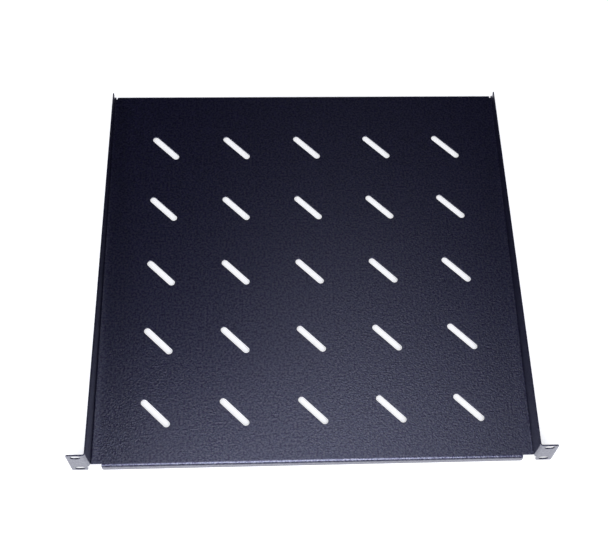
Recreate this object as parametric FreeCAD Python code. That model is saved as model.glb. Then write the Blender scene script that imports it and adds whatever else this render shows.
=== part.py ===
import FreeCAD, Part
import math
import os

# A cantilever shelf for a 19-inch rack, folded from one sheet of steel. All sizes are in millimetres.
#
# The sheet is cut flat and then bent six times: a side flange and its ear on each side, and a lip along
# the front and the rear. It is built here the same way, as flat walls joined by quarter-round bends.
#
# Frame: X to the right as seen from the front, Y towards the rear, Z up. The origin is the middle of the
# four mounting slots, on the rear faces of the ears, which seat against the rack's front rails.

Vector = FreeCAD.Vector

# The sheet and its bends. The neutral layer is the share of the thickness, from the inside of a bend,
# at which the sheet neither stretches nor shrinks.
SHEET = 1.5
BEND_INSIDE = 1.5
NEUTRAL_LAYER = 0.44

# The ears, from one outer edge to the other, and how far each one stands out from its flange. A slot's
# rise is from the lower one to the upper, and its inset is from the ear's outer edge.
RACK_WIDTH = 482.6
EAR_REACH = 17.7
EAR_HEIGHT = 43.6
EAR_CORNER = 2.0
EAR_SLOT_RISE = 31.75
EAR_SLOT_INSET = 8.75
EAR_SLOT_LENGTH = 9.8
EAR_SLOT_WIDTH = 7.5

# The tray: the deck's top stands over the ears' lower edge, and the flanges' rear ends over the deck
DEPTH = 449.2
DECK_RISE = 8.7
FLANGE_REAR_RISE = 8.7
FLANGE_SETBACK = 1.5

# The lips: their height is from the deck's top. The blank gap parts the front lip from an ear's foot in
# the flat sheet, and the reliefs part the rear lip from the side flanges.
LIP_HEIGHT = 10.0
LIP_CORNER = 2.0
BLANK_GAP = 2.2
RELIEF_WIDTH = 1.5
RELIEF_PAST_BEND = 1.0

# The vent slots in the deck. The first row is measured from the origin, and the margins keep the grid
# clear of the flanges and the rear lip.
VENT_PITCH = 80.3
VENT_LENGTH = 40.0
VENT_WIDTH = 7.0
VENT_TURN = -45.0
VENT_FIRST_ROW = 53.7
VENT_SIDE_MARGIN = 45.0
VENT_REAR_MARGIN = 55.0

# Heights worked out from the sizes above
EAR_TOP = EAR_HEIGHT / 2
EAR_FOOT = -EAR_HEIGHT / 2
DECK_TOP = EAR_FOOT + DECK_RISE
DECK_UNDER = DECK_TOP - SHEET
FLANGE_START = DECK_TOP + BEND_INSIDE
LIP_START = DECK_UNDER - BEND_INSIDE
LIP_FOOT = DECK_TOP - LIP_HEIGHT

# Depths: the ears and the front lip share one front face, so their bends start in one line
FRONT_BEND = BEND_INSIDE
REAR_FACE = DEPTH - SHEET
REAR_BEND = REAR_FACE - SHEET - BEND_INSIDE
FLANGE_END = REAR_FACE - FLANGE_SETBACK

# Widths, each from the middle of the shelf outwards
EAR_EDGE = RACK_WIDTH / 2
FLANGE_OUTER = EAR_EDGE - EAR_REACH
FLANGE_INNER = FLANGE_OUTER - SHEET
DECK_EDGE = FLANGE_INNER - BEND_INSIDE
EAR_START = FLANGE_OUTER + BEND_INSIDE

# In the flat sheet the foot of each ear lies in front of the deck's corner, so the front lip stops short
# of it. The rear lip has no ear beside it and stops at the corner relief.
BEND_ALLOWANCE = (BEND_INSIDE + NEUTRAL_LAYER * SHEET) * math.pi / 2
FOOT_DROP = FLANGE_START - EAR_FOOT
FRONT_LIP_EDGE = DECK_EDGE + BEND_ALLOWANCE - FOOT_DROP - BLANK_GAP
REAR_LIP_EDGE = DECK_EDGE - RELIEF_WIDTH


def rounded_face(corners, radii):
    """A flat face whose outline runs through the corners, each one rounded to its radius."""
    edges = []
    ends = []
    count = len(corners)
    for index in range(count):
        here = corners[index]
        back = (corners[index - 1] - here).normalize()
        ahead = (corners[(index + 1) % count] - here).normalize()
        radius = radii[index]
        if radius == 0:
            ends.append((here, here))
            continue
        half = back.getAngle(ahead) / 2
        start = here + back * (radius / math.tan(half))
        stop = here + ahead * (radius / math.tan(half))
        middle = here + (back + ahead).normalize() * (radius / math.sin(half) - radius)
        edges.append(Part.Arc(start, middle, stop).toShape())
        ends.append((start, stop))
    for index in range(count):
        start = ends[index - 1][1]
        stop = ends[index][0]
        edges.append(Part.LineSegment(start, stop).toShape())
    return Part.Face(Part.Wire(Part.__sortEdges__(edges)))


def plate(corners, push, radii=None):
    """A flat wall of the sheet: an outline pushed through its thickness."""
    face = rounded_face(corners, radii or [0] * len(corners))
    return face.extrude(push)


def bend(corner, thickness, length, centre, axis):
    """A quarter-round bend: the sheet's edge, a rectangle, turned through a right angle about the axis."""
    rectangle = Part.makePolygon([corner, corner + thickness, corner + thickness + length,
                                  corner + length, corner])
    return Part.Face(rectangle).revolve(centre, axis, 90)


def long_slot(centre, length, width, push, turn_axis, turn):
    """The solid that cuts a slot with round ends, lying along X and then turned about its middle."""
    along = Vector(length / 2 - width / 2, 0, 0)
    across = push.cross(Vector(1, 0, 0)).normalize() * (width / 2)
    tip = Vector(length / 2, 0, 0)
    outline = Part.Wire([
        Part.LineSegment(across - along, across + along).toShape(),
        Part.Arc(across + along, tip, along - across).toShape(),
        Part.LineSegment(along - across, -along - across).toShape(),
        Part.Arc(-along - across, -tip, across - along).toShape(),
    ])
    cutter = Part.Face(outline).extrude(push)
    cutter.rotate(Vector(0, 0, 0), turn_axis, turn)
    cutter.translate(centre)
    return cutter


def row_of(first, last, pitch):
    """Places at the pitch from the first one on, as many as fit before the last."""
    count = int((last - first) / pitch) + 1
    return [first + index * pitch for index in range(count)]


def vent_columns():
    """The vent columns, spread evenly about the middle of the deck."""
    room = 2 * (FLANGE_OUTER - VENT_SIDE_MARGIN)
    columns = row_of(0, room, VENT_PITCH)
    return [column - columns[-1] / 2 for column in columns]


def vents():
    """The grid of diagonal vent slots, cut right through the deck."""
    down = Vector(0, 0, -3 * SHEET)
    over = DECK_TOP + SHEET
    cutters = []
    for depth in row_of(VENT_FIRST_ROW, REAR_FACE - VENT_REAR_MARGIN, VENT_PITCH):
        for side in vent_columns():
            centre = Vector(side, depth, over)
            cutters.append(long_slot(centre, VENT_LENGTH, VENT_WIDTH, down, Vector(0, 0, 1), VENT_TURN))
    return Part.makeCompound(cutters)


def deck():
    """The flat floor of the tray, up to the start of every bend, with its vents and corner reliefs."""
    corners = [Vector(-DECK_EDGE, FRONT_BEND, DECK_UNDER), Vector(DECK_EDGE, FRONT_BEND, DECK_UNDER),
               Vector(DECK_EDGE, REAR_BEND, DECK_UNDER), Vector(-DECK_EDGE, REAR_BEND, DECK_UNDER)]
    return plate(corners, Vector(0, 0, SHEET)).cut([vents(), corner_relief(-1), corner_relief(1)])


def corner_relief(side):
    """The narrow round-ended notch between the rear lip and a side flange, so that both bend freely."""
    radius = RELIEF_WIDTH / 2
    middle = side * (DECK_EDGE - radius)
    round_end = REAR_BEND - RELIEF_PAST_BEND + radius
    end = Part.makeCylinder(radius, SHEET, Vector(middle, round_end, DECK_UNDER))
    notch = Part.makeBox(RELIEF_WIDTH, REAR_FACE - round_end, SHEET,
                         Vector(middle - radius, round_end, DECK_UNDER))
    return end.fuse(notch)


def side_flange():
    """The right-hand side wall: as tall as the ear at the front, falling in a straight line to the rear."""
    corners = [Vector(FLANGE_INNER, FRONT_BEND, FLANGE_START),
               Vector(FLANGE_INNER, FLANGE_END, FLANGE_START),
               Vector(FLANGE_INNER, FLANGE_END, DECK_TOP + FLANGE_REAR_RISE),
               Vector(FLANGE_INNER, FRONT_BEND, EAR_TOP)]
    wall = plate(corners, Vector(SHEET, 0, 0))
    turn = bend(Vector(DECK_EDGE, FRONT_BEND, DECK_UNDER), Vector(0, 0, SHEET),
                Vector(0, FLANGE_END - FRONT_BEND, 0), Vector(DECK_EDGE, 0, FLANGE_START), Vector(0, -1, 0))
    return [wall, turn]


def ear():
    """The right-hand ear with its two mounting slots. Its foot reaches below the bend that carries it."""
    corners = [Vector(EAR_START, 0, EAR_FOOT), Vector(EAR_EDGE, 0, EAR_FOOT),
               Vector(EAR_EDGE, 0, EAR_TOP), Vector(EAR_START, 0, EAR_TOP)]
    blank = plate(corners, Vector(0, -SHEET, 0), [EAR_CORNER, EAR_CORNER, EAR_CORNER, 0])
    slots = []
    for rise in (-EAR_SLOT_RISE / 2, EAR_SLOT_RISE / 2):
        centre = Vector(EAR_EDGE - EAR_SLOT_INSET, SHEET, rise)
        slots.append(long_slot(centre, EAR_SLOT_LENGTH, EAR_SLOT_WIDTH, Vector(0, -4 * SHEET, 0),
                               Vector(0, 1, 0), 0))
    turn = bend(Vector(FLANGE_INNER, FRONT_BEND, FLANGE_START), Vector(SHEET, 0, 0),
                Vector(0, 0, EAR_TOP - FLANGE_START), Vector(EAR_START, FRONT_BEND, 0), Vector(0, 0, 1))
    return [blank.cut(slots), turn]


def lip(edge, bend_line, way):
    """A lip turned down from the deck, with rounded lower corners: way is -1 at the front, 1 at the rear."""
    face = bend_line + way * BEND_INSIDE
    corners = [Vector(-edge, face, LIP_START), Vector(edge, face, LIP_START),
               Vector(edge, face, LIP_FOOT), Vector(-edge, face, LIP_FOOT)]
    wall = plate(corners, Vector(0, way * SHEET, 0), [0, 0, LIP_CORNER, LIP_CORNER])
    turn = bend(Vector(-edge, bend_line, DECK_UNDER), Vector(0, 0, SHEET), Vector(2 * edge, 0, 0),
                Vector(0, bend_line, LIP_START), Vector(-way, 0, 0))
    return [wall, turn]


def shelf():
    """The whole folded sheet as one solid."""
    right = side_flange() + ear()
    left = [wall.mirror(Vector(0, 0, 0), Vector(1, 0, 0)) for wall in right]
    lips = lip(FRONT_LIP_EDGE, FRONT_BEND, -1) + lip(REAR_LIP_EDGE, REAR_BEND, 1)
    joined = deck().fuse(right + left + lips)
    return joined.removeSplitter().Solids[0]


os.makedirs("parts", exist_ok=True)
shelf().exportStep("parts/shelf.step")
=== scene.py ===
"""The looks of a cantilever rack shelf: a folded steel sheet in a dark powder coat, on a white floor."""

import math

import bpy
import numpy as np
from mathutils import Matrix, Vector


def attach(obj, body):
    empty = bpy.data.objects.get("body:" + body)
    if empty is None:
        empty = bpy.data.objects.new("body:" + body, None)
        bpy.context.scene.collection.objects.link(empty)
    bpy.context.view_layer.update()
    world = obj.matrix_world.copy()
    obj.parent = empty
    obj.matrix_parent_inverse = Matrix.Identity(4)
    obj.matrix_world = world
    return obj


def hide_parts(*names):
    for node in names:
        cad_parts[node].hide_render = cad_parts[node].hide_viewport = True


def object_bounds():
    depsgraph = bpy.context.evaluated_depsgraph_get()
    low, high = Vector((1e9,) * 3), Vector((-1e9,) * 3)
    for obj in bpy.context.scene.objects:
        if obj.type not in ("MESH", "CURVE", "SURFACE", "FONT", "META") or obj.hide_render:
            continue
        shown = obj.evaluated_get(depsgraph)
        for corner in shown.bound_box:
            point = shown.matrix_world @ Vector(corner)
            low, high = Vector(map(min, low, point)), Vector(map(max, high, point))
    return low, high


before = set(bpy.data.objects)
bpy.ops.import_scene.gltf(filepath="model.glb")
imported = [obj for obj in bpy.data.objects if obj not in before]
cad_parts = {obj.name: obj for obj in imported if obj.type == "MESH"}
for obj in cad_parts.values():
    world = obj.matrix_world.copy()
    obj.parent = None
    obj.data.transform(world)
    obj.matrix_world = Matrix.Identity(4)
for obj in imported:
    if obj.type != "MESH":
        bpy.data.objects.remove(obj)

CAD_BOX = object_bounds()
MM = 0.001

# The camera: where it stands, how it is turned, and its lens, with the framing set off to one side
CAMERA_PLACE = (-0.0307, -0.3582, 1.0891)
CAMERA_TURN = (27.194, -2.5526, -2.1439)
CAMERA_LENS = 67.559
CAMERA_SENSOR = 36
CAMERA_SHIFT = (-0.06945, -0.00324)
CAMERA_CLIP = (0.05, 50)

# The floor. The camera sees this much of its white whatever the light; the lamps give the rest, which takes
# the shadow.
FLOOR_REACH = 6.0
FLOOR_GAP = 0.0001
PAPER = (0.8, 0.8, 0.8, 1)
CAMERA_WHITE = 0.57
REFLECTED_WHITE = 0.35

# The powder coat. Each noise has a scale and a detail: the tone under the skin, the skin's tint, its gloss,
# and the grain in relief, whose lumps are a millimetre or two across.
NOISE_ROUGHNESS = 0.5
TONE_NOISE = (640, 1)
DARK_TONE = (0.4, (0.0, 0.0, 0.004, 1))
LIGHT_TONE = (0.66, (0.005, 0.004, 0.017, 1))
TINT_NOISE = (460, 1)
TINTS = [(0.36, (0.24, 0.20, 0.48, 1)), (0.5, (0.44, 0.50, 0.80, 1)), (0.64, (0.74, 0.72, 1.0, 1))]
GLOSS_NOISE = (500, 2)
GLOSS = (0.28, 0.36)
BASE_IOR = 2.1
GRAIN_NOISE = (620, 0)
GRAIN_DEPTH = 0.0006
GRAIN_STRENGTH = 0.24
COAT_GLOSS = 0.2
COAT_IOR = 1.5

# The sheet, as it is cut and folded, in millimetres. These are the sizes that the CAD part is built to, and
# the places worked out from them.
SHEET = 1.5
BEND_INSIDE = 1.5
NEUTRAL_LAYER = 0.44
EAR_EDGE = 241.3
EAR_STANDS_OUT = 17.7
FLANGE_OUTER = EAR_EDGE - EAR_STANDS_OUT
DECK_EDGE = FLANGE_OUTER - SHEET - BEND_INSIDE
EAR_TOP = 21.8
DECK_RISE = 8.7
FLANGE_REAR_RISE = 8.7
DECK_TOP = DECK_RISE - EAR_TOP
DECK_UNDER = DECK_TOP - SHEET
FLANGE_START = DECK_TOP + BEND_INSIDE
FLANGE_REAR_TOP = DECK_TOP + FLANGE_REAR_RISE
REAR_FACE = 447.7
FLANGE_SETBACK = 1.5
FRONT_BEND = BEND_INSIDE
REAR_BEND = REAR_FACE - SHEET - BEND_INSIDE
FLANGE_END = REAR_FACE - FLANGE_SETBACK
EAR_REACH = EAR_EDGE - FLANGE_OUTER - BEND_INSIDE
LIP_HEIGHT = 10.0
LIP_FACE = LIP_HEIGHT - SHEET - BEND_INSIDE
CORNER_ROUND = 2.0

# How far a bend runs along the middle of the sheet, and how far the edge of the flat sheet does
BEND_RUN = (BEND_INSIDE + SHEET / 2) * math.pi / 2
BEND_ALLOWANCE = (BEND_INSIDE + NEUTRAL_LAYER * SHEET) * math.pi / 2

# The lips' ends. In front, the lip stops short of the ear's foot; at the rear, a relief notch parts the lip
# from the wall. LIP_OR_EAR is half way between the front lip's end and the foot.
BLANK_GAP = 2.2
FRONT_LIP_EDGE = DECK_EDGE + BEND_ALLOWANCE - (FLANGE_START + EAR_TOP) - BLANK_GAP
FOOT_EDGE = DECK_EDGE + BEND_RUN - (FLANGE_START + EAR_TOP)
LIP_OR_EAR = (FRONT_LIP_EDGE + FOOT_EDGE) / 2
RELIEF_RADIUS = 0.75
RELIEF_PAST_BEND = 1.0
RELIEF_MIDDLE = DECK_EDGE - RELIEF_RADIUS
RELIEF_END = REAR_BEND - RELIEF_PAST_BEND + RELIEF_RADIUS
REAR_LIP_EDGE = DECK_EDGE - 2 * RELIEF_RADIUS

# The slots: half their length and half their width, and where they are
EAR_SLOT_HALF = (4.9, 3.75)
EAR_SLOT_SPACING = 31.75
EAR_SLOT_INSET = 8.75
EAR_SLOT_RISE = EAR_SLOT_SPACING / 2
EAR_SLOT_REACH = EAR_REACH - EAR_SLOT_INSET
VENT_HALF = (20.0, 3.5)
VENT_TURN = -45.0
VENT_PITCH = 80.3
VENT_COUNT = 5
VENT_FIRST_ROW = 53.7

# The cut edges are rounded, and BEND_KEEP holds them clear of the bend lines
EDGE_ROUND = 0.3
BEND_CLEARANCE = 0.04
BEND_KEEP = EDGE_ROUND + BEND_CLEARANCE

# The mesh's lines. A vent's outline has as many points as the square cell round it. The places across for a
# lip's end are the first TO_LIP_END of their list, and its rounded corner starts at the TO_CORNER one.
EDGE_STEPS = 2
BEND_STEPS = 6
CELL_STEPS = 20
VENT_ROUND_STEPS = 8
VENT_STRAIGHT_STEPS = 12
VENT_SHARES = [0, 0.02, 0.07, 0.18, 0.38, 0.66, 1]
EAR_SLOT_SHARES = [0, 0.12, 0.4, 1]
EAR_LINES = 9
EAR_ARC_POINTS = 4
FRONT_ROWS = [5, 9]
FAN_STEPS = 5
FAN_END = 440.0
FRONT_MARGIN = 205.5
REAR_MARGIN = 209.0
CORNER_LINES = [215, 218]
LIP_LINE = 2.5
TO_LIP_END = 5
TO_CORNER = 3
CORNER_STEPS = 2
NOTCH_SHARES = [0, 0.5, 1]
EAR_SIDE_STEPS = 5
EAR_TOP_STEPS = 6
FOOT_STEPS = 4

# A wall's heights, the same on the wall and on the ear: its middle, without slots, is the ear's CELL_EDGE to
# either side of the middle, and the cells round the slots lie above and below
CELL_EDGE = 10.25
UPPER_STEPS = 6
MIDDLE_STEPS = 5
WALL_HEIGHTS = np.concatenate([
    [FLANGE_START + BEND_KEEP], np.linspace(-CELL_EDGE, CELL_EDGE, MIDDLE_STEPS + 1),
    np.linspace(CELL_EDGE, EAR_TOP - EDGE_ROUND, UPPER_STEPS + 1)[1:]])

# Points of two patches that are this near each other are one point: parts of a millimetre, and an offset that
# keeps round figures off the border between two parts
MERGE_PARTS = 2000
MERGE_OFFSET = 0.13
FLAT_WEIGHT = 50
TINY = 1e-6

LAMPS = [
    # name, place, what it points at, width, height, watts
    ("front", (0.0, -1.7, 1.5), (0.0, 0.2, 0.0), 1.2, 0.9, 19),
    ("front_high", (0.0, -1.0, 1.8), (0.0, 0.1, 0.0), 1.0, 0.6, 16),
    ("left", (-1.6, 0.1, 0.9), (0.0, 0.2, 0.0), 0.6, 0.6, 12),
    ("right", (1.6, 0.1, 0.9), (0.0, 0.2, 0.0), 0.6, 0.6, 5),
    ("ceiling_front", (0.0, -0.6, 1.7), (0.0, -0.4, 0.0), 0.8, 0.4, 2.5),
    ("ceiling_middle", (0.0, -0.25, 1.7), (0.0, -0.2, 0.0), 0.5, 0.4, 4),
    ("over", (0.05, 0.15, 1.7), (0.05, 0.15, 0.0), 0.5, 0.4, 1),
    ("over_left", (-0.3, 0.35, 1.7), (-0.3, 0.35, 0.0), 0.3, 0.5, 1),
    ("over_right", (0.5, 0.5, 1.7), (0.5, 0.5, 0.0), 0.3, 0.5, 0.5),
    ("over_middle", (0.1, 0.55, 1.7), (0.1, 0.55, 0.0), 0.4, 0.35, 0.7),
    ("over_back", (0.15, 0.95, 1.7), (0.15, 0.9, 0.0), 0.5, 0.4, 0.3),
    ("far_back", (0.15, 1.55, 1.7), (0.15, 0.9, 0.0), 0.6, 0.4, 0.05),
]
LAMP_COLOUR = (0.89, 0.91, 1.0)
WORLD_STRENGTH = 0.01


def make_camera():
    """The camera, made first so that everything else is laid out in its view."""
    data = bpy.data.cameras.new("camera")
    data.sensor_width = CAMERA_SENSOR
    data.lens = CAMERA_LENS
    data.shift_x, data.shift_y = CAMERA_SHIFT
    data.clip_start, data.clip_end = CAMERA_CLIP
    camera = bpy.data.objects.new("camera", data)
    camera.location = CAMERA_PLACE
    camera.rotation_euler = [math.radians(turn) for turn in CAMERA_TURN]
    bpy.context.scene.collection.objects.link(camera)
    bpy.context.scene.camera = camera


def turn(run, radius):
    """How a strip goes on past its bend line: round a quarter circle of its layer's radius, then straight.
    Gives how far it has gone along the old direction and along the new one."""
    angle = np.clip(run / BEND_RUN, 0, 1) * math.pi / 2
    along = np.where(run < 0, run, radius * np.sin(angle))
    return along, radius * (1 - np.cos(angle)) + np.maximum(run - BEND_RUN, 0)


def fold(flat, layer):
    """Where the points of the flat sheet end up. A point has a place across and deep in the flat sheet and a
    layer, from 0 at the outer face to SHEET at the inner one. Past the deck's edge the sheet turns up into a
    side wall, in front of the wall it turns out into an ear, and past the deck's ends it turns down."""
    across, deep = flat[:, 0], flat[:, 1]
    out = np.abs(across)
    side_run, front_run, rear_run = out - DECK_EDGE, FRONT_BEND - deep, deep - REAR_BEND
    on_ear = (front_run > TINY) & (out > LIP_OR_EAR)
    on_front_lip = (front_run > TINY) & ~on_ear
    on_rear_lip = (rear_run > TINY) & (out < RELIEF_MIDDLE)
    side_along, side_up = turn(side_run, BEND_INSIDE + SHEET - layer)
    front_along, front_turned = turn(front_run, BEND_INSIDE + layer)
    rear_along, rear_turned = turn(rear_run, BEND_INSIDE + layer)
    x = np.where(on_ear, FLANGE_OUTER - layer + front_turned, DECK_EDGE + side_along)
    behind = np.where(on_rear_lip, REAR_BEND + rear_along, deep)
    y = np.where(on_ear | on_front_lip, FRONT_BEND - front_along, behind)
    z = DECK_UNDER + layer + side_up - on_front_lip * front_turned - on_rear_lip * rear_turned
    z = np.where(on_ear, FLANGE_START + side_run - BEND_RUN, z)
    return np.stack([np.sign(across) * x, y, z], axis=1)


def lines(across, deep):
    """A patch of the flat sheet: the grid of its lines across and its lines deep."""
    return np.stack(np.meshgrid(across, deep, indexing="ij"), axis=-1)


def between(start, stop, shares):
    """A patch whose lines run straight from one edge to another, at the given shares of the way."""
    shares = np.asarray(shares, float)[None, :, None]
    return start[:, None, :] * (1 - shares) + stop[:, None, :] * shares


def rounded_corner(corner, size, steps):
    """A patch of a corner rounded to a quarter circle: a square whose two outer edges are the two halves of
    the arc, with its inner points blended from its four edges."""
    share = np.linspace(0, 1, steps + 1)
    eighth = share * math.pi / 4
    low = np.stack([share, 0 * share], -1)
    left = low[:, ::-1]
    right = np.stack([np.cos(eighth), np.sin(eighth)], -1)
    top = right[:, ::-1]
    u, v = share[:, None, None], share[None, :, None]
    far = np.array([1, 1]) * math.sqrt(0.5)
    blend = (1 - v) * low[:, None] + v * top[:, None] + (1 - u) * left[None] + u * right[None]
    blend = blend - u * (1 - v) * np.array([1, 0]) - (1 - u) * v * np.array([0, 1]) - u * v * far
    return np.asarray(corner) + blend * np.asarray(size)


def long_outline(half, turned, round_steps, straight_steps):
    """The outline of a slot with round ends, from one tip round to it again: half circles and straights."""
    length, radius = half
    straight = length - radius
    angle = np.linspace(0, math.pi / 2, round_steps + 1)[:-1]
    quarter = np.concatenate([
        np.stack([straight + radius * np.cos(angle), radius * np.sin(angle)], -1),
        np.stack([np.linspace(straight, 0, straight_steps + 1)[:-1], np.full(straight_steps, radius)], -1)])
    half_way = np.concatenate([quarter, [[0, radius]], (quarter * [-1, 1])[:0:-1]])
    outline = np.concatenate([half_way, -half_way, half_way[:1]])
    cosine, sine = math.cos(turned), math.sin(turned)
    return outline @ np.array([[cosine, sine], [-sine, cosine]])


def square_outline(half, steps):
    """The outline of a square, from its front right corner anticlockwise round to it again."""
    share = np.linspace(-half, half, steps + 1)[:-1]
    edge = np.full(steps, half)
    sides = [(edge, share), (-share, edge), (-edge, -share), (share, -edge)]
    outline = np.concatenate([np.stack(side, -1) for side in sides])
    return np.concatenate([outline, outline[:1]])


def vent_patches():
    """The deck's middle: a square patch round each vent, from the vent's outline out to the square's edge."""
    half = np.array(VENT_HALF) + EDGE_ROUND
    slot = long_outline(half, math.radians(VENT_TURN), VENT_ROUND_STEPS, VENT_STRAIGHT_STEPS)
    square = square_outline(VENT_PITCH / 2, CELL_STEPS)
    rows = np.arange(VENT_COUNT) * VENT_PITCH
    return [between(slot + [side, deep], square + [side, deep], VENT_SHARES)
            for side in rows - rows[-1] / 2 for deep in rows + VENT_FIRST_ROW]


def wall_lines(deep, shares):
    """Places across for the side wall's long lines: shares of the height from its bend to its sloping top."""
    deep = np.asarray(deep, float)
    top = np.interp(deep, [FRONT_BEND, FLANGE_END], [EAR_TOP, FLANGE_REAR_TOP]) - EDGE_ROUND
    low = FLANGE_START + BEND_KEEP
    height = low + np.asarray(shares)[:, None] * (top - low)[None, :]
    return np.stack([DECK_EDGE + BEND_RUN + height - FLANGE_START, np.broadcast_to(deep, height.shape)], -1)


def slot_cell(outline, centre):
    """A patch round an ear's slot, out to the given outline. Each point of the slot lies in the direction of
    its outline point, where a line from the centre meets the straight sides or the round ends. The slot is
    long in the outline's second direction."""
    away = outline - centre
    away = away / np.linalg.norm(away, axis=1)[:, None]
    length, radius = np.array(EAR_SLOT_HALF) + EDGE_ROUND
    straight = length - radius
    side = radius / np.maximum(np.abs(away[:, 0]), TINY)
    root = np.sqrt(np.maximum(radius**2 - (straight * away[:, 0]) ** 2, 0))
    tip = straight * np.abs(away[:, 1]) + root
    reach = np.where(np.abs(away[:, 1]) * side <= straight, side, tip)
    return between(centre + away * reach[:, None], outline, EAR_SLOT_SHARES)


def ear_patches():
    """The right ear, outside its bend: plain in the middle, and a cell round each slot with the ear's rounded
    corners. Heights run across the flat sheet, and reach from the bend runs forwards."""
    low, high = FLANGE_START + BEND_KEEP, EAR_TOP - EDGE_ROUND
    near, far = BEND_KEEP, EAR_REACH - EDGE_ROUND
    bend = CORNER_ROUND - EDGE_ROUND
    reach = np.linspace(near, far, EAR_LINES)
    arc = np.linspace(0, math.pi / 2, EAR_ARC_POINTS)

    def shared_edges(sign):
        inner = np.stack([np.full(EAR_LINES, sign * CELL_EDGE), reach], -1)
        side_height = sign * np.linspace(CELL_EDGE, high - bend, EAR_SIDE_STEPS + 1)[1:]
        outer_side = np.stack([side_height, np.full(EAR_SIDE_STEPS, far)], -1)
        arc_height = sign * (high - bend + bend * np.sin(arc))
        outer_arc = np.stack([arc_height, far - bend + bend * np.cos(arc)], -1)[1:]
        return [inner, outer_side, outer_arc]

    top_reach = np.linspace(far - bend, near, EAR_TOP_STEPS + 1)[1:]
    top = np.stack([np.full(EAR_TOP_STEPS, high), top_reach], -1)
    down_bend = np.stack([WALL_HEIGHTS[::-1][1:UPPER_STEPS + 1], np.full(UPPER_STEPS, near)], -1)
    upper = np.concatenate(shared_edges(1) + [top, down_bend])

    bottom_reach = np.linspace(far - bend, near + bend, EAR_SIDE_STEPS + 1)[1:]
    bottom = np.stack([np.full(EAR_SIDE_STEPS, -high), bottom_reach], -1)
    foot_arc = np.stack([-(high - bend + bend * np.cos(arc)), near + bend - bend * np.sin(arc)], -1)[1:]
    foot_height = np.append(np.linspace(-(high - bend), low, FOOT_STEPS + 1)[1:], -CELL_EDGE)
    up_foot = np.stack([foot_height, np.full(len(foot_height), near)], -1)
    lower = np.concatenate(shared_edges(-1) + [bottom, foot_arc, up_foot])

    cells = [slot_cell(outline, np.array([sign * EAR_SLOT_RISE, EAR_SLOT_REACH]))
             for sign, outline in ((1, upper), (-1, lower))]
    middle = lines(WALL_HEIGHTS[1:MIDDLE_STEPS + 2], reach)
    return [patch * [1, -1] + [DECK_EDGE + BEND_RUN - FLANGE_START, FRONT_BEND - BEND_RUN]
            for patch in cells + [middle]]


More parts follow.
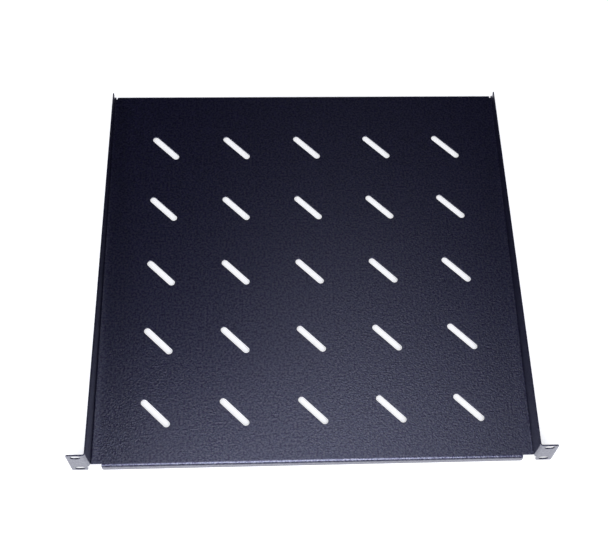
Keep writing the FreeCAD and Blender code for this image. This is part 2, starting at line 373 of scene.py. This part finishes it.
def flat_patches():
    """Every patch of the flat sheet, its edges drawn in by the rounding of its cut edges. The patches on the
    right are mirrored to the left."""
    corner = CORNER_ROUND - EDGE_ROUND
    lip_end = FRONT_LIP_EDGE - EDGE_ROUND
    rear_end = REAR_LIP_EDGE - EDGE_ROUND
    front_edge = FRONT_BEND + BEND_KEEP
    bend_lines = np.linspace(0, BEND_RUN, BEND_STEPS + 1)

    # places across: the vents' field, its margins at the front and the rear, and the side bend
    half_field = VENT_COUNT * VENT_PITCH / 2
    field_x = np.linspace(-half_field, half_field, VENT_COUNT * CELL_STEPS + 1)
    front_x = np.array([half_field, FRONT_MARGIN, lip_end - corner, lip_end - corner / 2, lip_end,
                        *CORNER_LINES, DECK_EDGE])
    rear_x = np.array([half_field, REAR_MARGIN, rear_end - corner, rear_end - corner / 2, rear_end,
                       REAR_LIP_EDGE, RELIEF_MIDDLE, DECK_EDGE])
    bend_x = DECK_EDGE + np.concatenate([[0, EDGE_ROUND], bend_lines[1:], [BEND_RUN + BEND_KEEP]])

    # places deep: in front of the vents, along them, and behind them
    field_y = field_x + half_field + VENT_FIRST_ROW - VENT_PITCH / 2
    front_y = np.array([front_edge, *FRONT_ROWS, field_y[0]])
    fan_y = np.linspace(field_y[-1], FAN_END, FAN_STEPS + 1)
    end_y = np.array([FAN_END, (FAN_END + RELIEF_END) / 2, RELIEF_END])

    # how far along a lip's bend and its face, and how far into the rounding of its corners
    straight_end = LIP_FACE - CORNER_ROUND
    lip_run = np.concatenate([bend_lines, BEND_RUN + np.array([LIP_LINE, straight_end])])
    corner_run = BEND_RUN + straight_end + np.linspace(0, corner, CORNER_STEPS + 1)
    front_lip_y = np.append(front_edge, FRONT_BEND - lip_run)[::-1]
    front_corner_y = (FRONT_BEND - corner_run)[::-1]
    rear_lip_y = np.append(RELIEF_END, REAR_BEND + lip_run)
    rear_corner_y = REAR_BEND + corner_run

    middle = vent_patches()
    middle += [lines(field_x, deep) for deep in (front_y, np.append(fan_y, end_y[1:]), front_lip_y,
                                                 front_corner_y, rear_lip_y, rear_corner_y)]

    # the deck beside the vents, where the lines fan out from the front margin's places to the rear one's
    right = [lines(across, deep) for across in (front_x, bend_x) for deep in (front_y, field_y)]
    fan = between(np.stack([front_x, 0 * front_x], -1), np.stack([rear_x, 0 * rear_x], -1),
                  np.linspace(0, 1, FAN_STEPS + 1))
    fan[..., 1] = fan_y
    right += [fan, lines(rear_x[:TO_LIP_END], end_y), lines(bend_x, fan_y),
              lines(bend_x[1:], np.append(end_y, FLANGE_END - EDGE_ROUND))]

    # the deck in front of the relief notch, whose end is round
    notch_x = np.append(rear_x[TO_LIP_END - 1:], DECK_EDGE + EDGE_ROUND)
    notch_radius = RELIEF_RADIUS + EDGE_ROUND
    notch_y = RELIEF_END - np.sqrt(np.maximum(notch_radius**2 - (notch_x - RELIEF_MIDDLE) ** 2, 0))
    fan_row = np.stack([notch_x, np.full(len(notch_x), FAN_END)], -1)
    right.append(between(fan_row, np.stack([notch_x, notch_y], -1), NOTCH_SHARES))

    # the lips' ends with their rounded corners
    front_corner = rounded_corner([lip_end - corner, front_corner_y[-1]], [corner, -corner], CORNER_STEPS)
    rear_corner = rounded_corner([rear_end - corner, rear_corner_y[0]], [corner, corner], CORNER_STEPS)
    right += [lines(front_x[:TO_LIP_END], front_lip_y), lines(front_x[:TO_CORNER], front_corner_y),
              lines(rear_x[:TO_LIP_END], rear_lip_y), lines(rear_x[:TO_CORNER], rear_corner_y),
              front_corner[:, ::-1], rear_corner]

    # the wall, the bend out to the ear, and the ear
    shares = (WALL_HEIGHTS - WALL_HEIGHTS[0]) / (WALL_HEIGHTS[-1] - WALL_HEIGHTS[0])
    wall_y = np.concatenate([front_y[:-1], field_y, fan_y[1:], end_y[1:], [FLANGE_END - EDGE_ROUND]])
    ear_bend_y = np.append(front_edge, FRONT_BEND - np.append(bend_lines, BEND_RUN + BEND_KEEP))[::-1]
    right += [wall_lines(wall_y, shares), wall_lines(ear_bend_y, shares)] + ear_patches()

    left = [patch[::-1] * [-1, 1] for patch in right]
    return middle + right + left


def quads(patches):
    """All the patches as one flat mesh: its points, with those that coincide merged, and its quads."""
    points, faces, count = [], [], 0
    for patch in patches:
        rows, columns = patch.shape[:2]
        index = np.arange(rows * columns).reshape(rows, columns)
        corners = [index[:-1, :-1], index[1:, :-1], index[1:, 1:], index[:-1, 1:]]
        flat = np.stack([corner.ravel() for corner in corners], 1)
        grid = patch.reshape(-1, 2)
        ahead, back = grid[flat[:, 2]] - grid[flat[:, 0]], grid[flat[:, 3]] - grid[flat[:, 1]]
        turned = ahead[:, 0] * back[:, 1] - ahead[:, 1] * back[:, 0]
        faces.append(count + np.where(turned[:, None] > 0, flat, flat[:, ::-1]))
        points.append(grid)
        count += rows * columns
    points, faces = np.concatenate(points), np.concatenate(faces)
    keys = np.round(points * MERGE_PARTS + MERGE_OFFSET).astype(int)
    first, merged = np.unique(keys, axis=0, return_index=True, return_inverse=True)[1:]
    return points[first], merged.reshape(-1)[faces]


def cut_edges(points, faces):
    """The flat mesh's edges that only one quad has: from, to, and the way out of the sheet at each point,
    which is the sum of its two edges' outward normals, lengthened so that both edges move out by one."""
    start, stop = faces.ravel(), np.roll(faces, -1, axis=1).ravel()
    lone = ~np.isin(start * len(points) + stop, stop * len(points) + start)
    start, stop = start[lone], stop[lone]
    way = points[stop] - points[start]
    normal = np.stack([way[:, 1], -way[:, 0]], 1) / np.linalg.norm(way, axis=1)[:, None]
    after, before = np.zeros_like(points), np.zeros_like(points)
    after[start], before[stop] = normal, normal
    out = (after + before) / np.maximum(1 + np.sum(after * before, axis=1), TINY)[:, None]
    return start, stop, out


def closed_sheet():
    """The whole sheet, closed: the inner and outer faces, and round every cut edge a profile that is a
    quarter circle, a straight wall and another quarter circle."""
    points, faces = quads(flat_patches())
    start, stop, out = cut_edges(points, faces)
    angle = np.linspace(0, math.pi / 2, EDGE_STEPS + 1)
    push = np.concatenate([EDGE_ROUND * np.sin(angle), EDGE_ROUND * np.cos(angle)])
    depth = np.concatenate([SHEET - EDGE_ROUND * (1 - np.cos(angle)), EDGE_ROUND * (1 - np.sin(angle))])
    count = len(points)
    rim = np.unique(start)
    place = np.full(count, -1)
    place[rim] = np.arange(len(rim))
    solid = [fold(points, np.full(count, SHEET)), fold(points, np.zeros(count))]
    rows = [rim]
    for step in range(1, len(push) - 1):
        solid.append(fold(points[rim] + out[rim] * push[step], np.full(len(rim), depth[step])))
        rows.append(2 * count + (step - 1) * len(rim) + np.arange(len(rim)))
    rows.append(count + rim)
    walls = [np.stack([upper[place[stop]], upper[place[start]], lower[place[start]], lower[place[stop]]], 1)
             for upper, lower in zip(rows[:-1], rows[1:])]
    return np.concatenate(solid), np.concatenate([faces, count + faces[:, ::-1]] + walls)


def make_shelf():
    """The folded sheet as one piece, in metres, in the place of its plain solid. Its flat faces keep flat
    shading between the smooth bends and the rounded cut edges."""
    points, faces = closed_sheet()
    mesh = bpy.data.meshes.new("folded_shelf")
    mesh.from_pydata(points * MM, [], faces.tolist())
    mesh.shade_smooth()
    mesh.materials.append(powder_coat())
    piece = bpy.data.objects.new("folded_shelf", mesh)
    bpy.context.scene.collection.objects.link(piece)
    flat = piece.modifiers.new("flat_faces", "WEIGHTED_NORMAL")
    flat.mode = "FACE_AREA"
    flat.weight = FLAT_WEIGHT
    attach(piece, "root")
    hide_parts("shelf")


def new_material(name):
    """An empty node material and its output node."""
    material = bpy.data.materials.new(name)
    material.use_nodes = True
    tree = material.node_tree
    tree.nodes.clear()
    return material, tree, tree.nodes.new("ShaderNodeOutputMaterial")


def noise(tree, scale_and_detail):
    """A noise in the sheet's own coordinates."""
    place = tree.nodes.new("ShaderNodeTexCoord")
    node = tree.nodes.new("ShaderNodeTexNoise")
    node.inputs["Scale"].default_value, node.inputs["Detail"].default_value = scale_and_detail
    node.inputs["Roughness"].default_value = NOISE_ROUGHNESS
    tree.links.new(place.outputs["Object"], node.inputs["Vector"])
    return node.outputs["Fac"]


def colours_of(tree, value, stops):
    """Colours by a value, through stops that each have a position and a colour."""
    ramp = tree.nodes.new("ShaderNodeValToRGB")
    for _ in stops[2:]:
        ramp.color_ramp.elements.new(0.5)
    for element, (position, colour) in zip(ramp.color_ramp.elements, stops):
        element.position = position
        element.color = colour
    tree.links.new(value, ramp.inputs["Fac"])
    return ramp.outputs["Color"]


def powder_coat():
    """Semi-matt black powder coat with a blue cast: a fine leathery grain in its relief, a mottled tone and
    uneven gloss, and the thin clear skin that such a coat forms as it cures."""
    material, tree, output = new_material("powder_coat")
    nodes, links = tree.nodes, tree.links
    shader = nodes.new("ShaderNodeBsdfPrincipled")
    shader.inputs["IOR"].default_value = BASE_IOR
    shader.inputs["Coat Weight"].default_value = 1.0
    shader.inputs["Coat IOR"].default_value = COAT_IOR
    shader.inputs["Coat Roughness"].default_value = COAT_GLOSS

    tone = colours_of(tree, noise(tree, TONE_NOISE), [DARK_TONE, LIGHT_TONE])
    links.new(tone, shader.inputs["Base Color"])
    tint = colours_of(tree, noise(tree, TINT_NOISE), TINTS)
    links.new(tint, shader.inputs["Specular Tint"])

    gloss = nodes.new("ShaderNodeMapRange")
    gloss.inputs["To Min"].default_value, gloss.inputs["To Max"].default_value = GLOSS
    links.new(noise(tree, GLOSS_NOISE), gloss.inputs["Value"])
    links.new(gloss.outputs["Result"], shader.inputs["Roughness"])

    grain = nodes.new("ShaderNodeBump")
    grain.inputs["Strength"].default_value = GRAIN_STRENGTH
    grain.inputs["Distance"].default_value = GRAIN_DEPTH
    links.new(noise(tree, GRAIN_NOISE), grain.inputs["Height"])
    for socket in ("Normal", "Coat Normal"):
        links.new(grain.outputs["Normal"], shader.inputs[socket])
    links.new(shader.outputs["BSDF"], output.inputs["Surface"])
    return material


def studio_white():
    """White paper: it takes the shadow, and reads as white to the camera and in reflections."""
    material, tree, output = new_material("white_floor")
    nodes, links = tree.nodes, tree.links
    paper = nodes.new("ShaderNodeBsdfDiffuse")
    paper.inputs["Color"].default_value = PAPER
    path = nodes.new("ShaderNodeLightPath")
    glow = nodes.new("ShaderNodeEmission")
    share = glow.inputs["Strength"]
    for ray, white in (("Is Camera Ray", CAMERA_WHITE), ("Is Glossy Ray", REFLECTED_WHITE),
                       ("Is Transmission Ray", REFLECTED_WHITE)):
        seen = nodes.new("ShaderNodeMath")
        seen.operation = "MULTIPLY_ADD"
        seen.inputs[1].default_value = white
        seen.inputs[2].default_value = 0
        links.new(path.outputs[ray], seen.inputs[0])
        links.new(seen.outputs[0], share)
        share = seen.inputs[2]
    both = nodes.new("ShaderNodeAddShader")
    links.new(paper.outputs[0], both.inputs[0])
    links.new(glow.outputs[0], both.inputs[1])
    links.new(both.outputs[0], output.inputs["Surface"])
    return material


def make_floor():
    """A wide plain floor at the height of the lips, which the shelf stands on."""
    low = CAD_BOX[0].z - FLOOR_GAP
    mesh = bpy.data.meshes.new("floor")
    corners = [(-1, -1), (1, -1), (1, 1), (-1, 1)]
    mesh.from_pydata([(x * FLOOR_REACH, y * FLOOR_REACH, low) for x, y in corners], [], [(0, 1, 2, 3)])
    mesh.materials.append(studio_white())
    floor = bpy.data.objects.new("floor", mesh)
    bpy.context.scene.collection.objects.link(floor)


def make_lamps():
    """Soft area lamps, each turned to the place that it points at."""
    for name, place, aim, width, height, watts in LAMPS:
        data = bpy.data.lights.new(name, "AREA")
        data.shape = "RECTANGLE"
        data.size, data.size_y, data.energy = width, height, watts
        data.color = LAMP_COLOUR
        lamp = bpy.data.objects.new(name, data)
        lamp.location = place
        lamp.rotation_mode = "QUATERNION"
        lamp.rotation_quaternion = (Vector(aim) - Vector(place)).to_track_quat("-Z", "Y")
        bpy.context.scene.collection.objects.link(lamp)


def make_world():
    """A faint even light from all round."""
    world = bpy.data.worlds.new("world")
    bpy.context.scene.world = world
    world.use_nodes = True
    background = world.node_tree.nodes["Background"]
    background.inputs["Color"].default_value = (1, 1, 1, 1)
    background.inputs["Strength"].default_value = WORLD_STRENGTH


make_camera()
make_floor()
make_lamps()
make_world()
bpy.context.scene.view_settings.view_transform = "Standard"

make_shelf()
